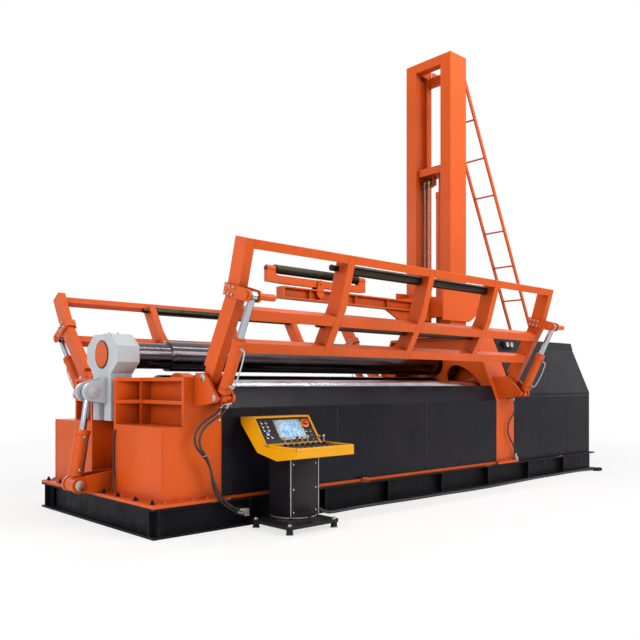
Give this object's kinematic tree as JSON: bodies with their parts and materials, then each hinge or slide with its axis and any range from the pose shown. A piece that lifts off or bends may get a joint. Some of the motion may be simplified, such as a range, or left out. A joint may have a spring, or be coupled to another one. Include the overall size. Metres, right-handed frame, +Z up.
{
  "type": "four roll plate rolling machine",
  "caption": "Hydraulic plate rolling machine with a dropping end yoke, swinging side rolls, tilting support tables, a lifting support arm and a free-standing console.",
  "frame": {"origin": "on the floor under the middle of the rolls, where the base's middle cross beam rests", "axes": "+X along the rolls towards the drive end, +Y away from the operator's console, +Z up"},
  "size_m": [9.1049, 4.5739, 6.79],
  "materials": {
    "orange_paint": "bright orange gloss paint, scuffed at edges",
    "base_black": "black paint on rolled sections",
    "housing_grey": "dark machined casting",
    "roll_steel": "dark polished forged steel",
    "anthracite_panel": "anthracite satin sheet",
    "hose_rubber": "black rubber hose",
    "fitting_steel": "zinc plated fitting",
    "console_dark": "dark satin paint",
    "console_yellow": "yellow-orange satin paint",
    "yoke_grey": "light grey paint",
    "cap_orange": "orange paint",
    "rod_chrome": "hard chromed rod",
    "sheave_bronze": "oiled bronze",
    "chain_steel": "oiled steel",
    "roller_dark": "dark oiled steel"
  },
  "bodies": {
    "machine": {"base_side_beams": "base_black", "base_cross_beams": "base_black", "sole_plates": "orange_paint", "drop_end_frame": "orange_paint", "drive_end_frame": "orange_paint", "top_roll_bearing": "housing_grey", "bottom_roll": "roll_steel", "bottom_roll_blocks": "housing_grey", "front_panel": "anthracite_panel", "back_panel": "anthracite_panel", "drive_cover": "anthracite_panel", "table_ears": "orange_paint", "drop_cylinder_ears": "orange_paint", "column_posts": "orange_paint", "column_bars": "orange_paint", "lift_barrel": "orange_paint", "ladder": "orange_paint", "ladder_rungs": "orange_paint", "ladder_brackets": "orange_paint", "outer_drop_hose": "hose_rubber", "inner_drop_hose": "hose_rubber", "drive_hose": "hose_rubber", "floor_cable": "hose_rubber", "hose_blocks": "fitting_steel", "console_gland": "fitting_steel", "cable_connector": "base_black", "console_base": "console_dark", "console_post": "console_dark", "console_desk": "console_yellow"},
    "top_roll": {"top_roll": "roll_steel"},
    "drop_yoke": {"drop_end_yoke": "yoke_grey", "yoke_cap": "cap_orange"},
    "drop_cylinder": {"drop_cylinder": "orange_paint"},
    "drop_rod": {"drop_rod": "rod_chrome"},
    "arm_carriage": {"arm_carriage": "orange_paint", "arm_beam": "orange_paint", "lift_crosshead": "orange_paint", "lift_sheaves": "sheave_bronze", "lift_chains": "chain_steel"},
    "roller_cradle": {"roller_cradle": "orange_paint"},
    "arm_roller": {"arm_roller": "roller_dark"},
    "front_side_arms": {"front_side_arms": "orange_paint"},
    "front_side_roll": {"front_side_roll": "roll_steel"},
    "front_table": {"front_table_posts": "orange_paint", "front_table_rails": "orange_paint", "front_table_clamps": "orange_paint"},
    "front_lower_roller": {"front_lower_roller": "roller_dark"},
    "front_upper_roller": {"front_upper_roller": "roller_dark"},
    "front_table_cylinders": {"front_table_cylinders": "orange_paint"},
    "front_table_rods": {"front_table_rods": "rod_chrome"},
    "back_side_arms": {"back_side_arms": "orange_paint"},
    "back_side_roll": {"back_side_roll": "roll_steel"},
    "back_table": {"back_table_posts": "orange_paint", "back_table_rails": "orange_paint", "back_table_clamps": "orange_paint"},
    "back_lower_roller": {"back_lower_roller": "roller_dark"},
    "back_upper_roller": {"back_upper_roller": "roller_dark"},
    "back_table_cylinders": {"back_table_cylinders": "orange_paint"},
    "back_table_rods": {"back_table_rods": "rod_chrome"}
  },
  "joints": [
    {"name": "top_roll_spin", "type": "hinge", "parent": "machine", "child": "top_roll", "pos_m": [0, 0, 1.825], "axis": [1, 0, 0], "continuous": true},
    {"name": "front_side_swing", "type": "hinge", "parent": "machine", "child": "front_side_arms", "pos_m": [0, -0.35, 1.115], "axis": [-1, 0, 0], "range_deg": [-6, 44]},
    {"name": "front_side_roll_spin", "type": "hinge", "parent": "front_side_arms", "child": "front_side_roll", "pos_m": [0, -0.78029, 1.3998], "axis": [1, 0, 0], "continuous": true},
    {"name": "front_table_tilt", "type": "hinge", "parent": "machine", "child": "front_table", "pos_m": [0, -1.39, 1.56], "axis": [1, 0, 0], "range_deg": [-12, 48]},
    {"name": "front_lower_roller_spin", "type": "hinge", "parent": "front_table", "child": "front_lower_roller", "pos_m": [0, -1.63905, 2.15369], "axis": [1, 0, 0], "continuous": true},
    {"name": "front_upper_roller_spin", "type": "hinge", "parent": "front_table", "child": "front_upper_roller", "pos_m": [0, -1.86693, 2.74969], "axis": [1, 0, 0], "continuous": true},
    {"name": "front_cylinder_swing", "type": "hinge", "parent": "machine", "child": "front_table_cylinders", "pos_m": [0, -1.58, 1.36], "axis": [1, 0, 0], "range_deg": [-12.9, 48.8]},
    {"name": "front_rod_slide", "type": "slide", "parent": "front_table_cylinders", "child": "front_table_rods", "axis": [0, -0.4506, 0.8927], "range_m": [-0.224, 0.063]},
    {"name": "back_side_swing", "type": "hinge", "parent": "machine", "child": "back_side_arms", "pos_m": [0, 0.35, 1.115], "axis": [1, 0, 0], "range_deg": [-6, 44]},
    {"name": "back_side_roll_spin", "type": "hinge", "parent": "back_side_arms", "child": "back_side_roll", "pos_m": [0, 0.78029, 1.3998], "axis": [1, 0, 0], "continuous": true},
    {"name": "back_table_tilt", "type": "hinge", "parent": "machine", "child": "back_table", "pos_m": [0, 1.39, 1.56], "axis": [-1, 0, 0], "range_deg": [-27, 33]},
    {"name": "back_lower_roller_spin", "type": "hinge", "parent": "back_table", "child": "back_lower_roller", "pos_m": [0, 1.78423, 2.069], "axis": [1, 0, 0], "continuous": true},
    {"name": "back_upper_roller_spin", "type": "hinge", "parent": "back_table", "child": "back_upper_roller", "pos_m": [0, 2.15859, 2.58571], "axis": [1, 0, 0], "continuous": true},
    {"name": "back_cylinder_swing", "type": "hinge", "parent": "machine", "child": "back_table_cylinders", "pos_m": [0, 1.58, 1.36], "axis": [-1, 0, 0], "range_deg": [-27.7, 33.7]},
    {"name": "back_rod_slide", "type": "slide", "parent": "back_table_cylinders", "child": "back_table_rods", "axis": [0, 0.655, 0.7556], "range_m": [-0.158, 0.131]},
    {"name": "yoke_tilt", "type": "hinge", "parent": "machine", "child": "drop_yoke", "pos_m": [-3.1, 0, 1.17], "axis": [0, -1, 0], "range_deg": [0, 48]},
    {"name": "drop_cylinder_swing", "type": "hinge", "parent": "machine", "child": "drop_cylinder", "pos_m": [-3.55, 0, 0.422], "axis": [0, -1, 0], "range_deg": [-1, 6]},
    {"name": "drop_rod_slide", "type": "slide", "parent": "drop_cylinder", "child": "drop_rod", "axis": [0.1592, 0, 0.9872], "range_m": [-0.32, 0.01]},
    {"name": "arm_lift", "type": "slide", "parent": "machine", "child": "arm_carriage", "axis": [0, 0, 1], "range_m": [-0.2, 1.4]},
    {"name": "cradle_tilt", "type": "hinge", "parent": "arm_carriage", "child": "roller_cradle", "pos_m": [0, 0, 2.905], "axis": [0, 1, 0], "range_deg": [-2.5, 2.5]},
    {"name": "arm_roller_spin", "type": "hinge", "parent": "roller_cradle", "child": "arm_roller", "pos_m": [0, 0, 3.032], "axis": [1, 0, 0], "continuous": true}
  ],
  "couplings": [
    {"joint": "front_cylinder_swing", "follows": "front_table_tilt", "ratio": 0.995},
    {"joint": "front_rod_slide", "follows": "front_table_tilt", "m_per_rad": -0.255},
    {"joint": "back_cylinder_swing", "follows": "back_table_tilt", "ratio": 0.99},
    {"joint": "back_rod_slide", "follows": "back_table_tilt", "m_per_rad": -0.2575},
    {"joint": "drop_cylinder_swing", "follows": "yoke_tilt", "ratio": 0.095},
    {"joint": "drop_rod_slide", "follows": "yoke_tilt", "m_per_rad": -0.365}
  ]
}
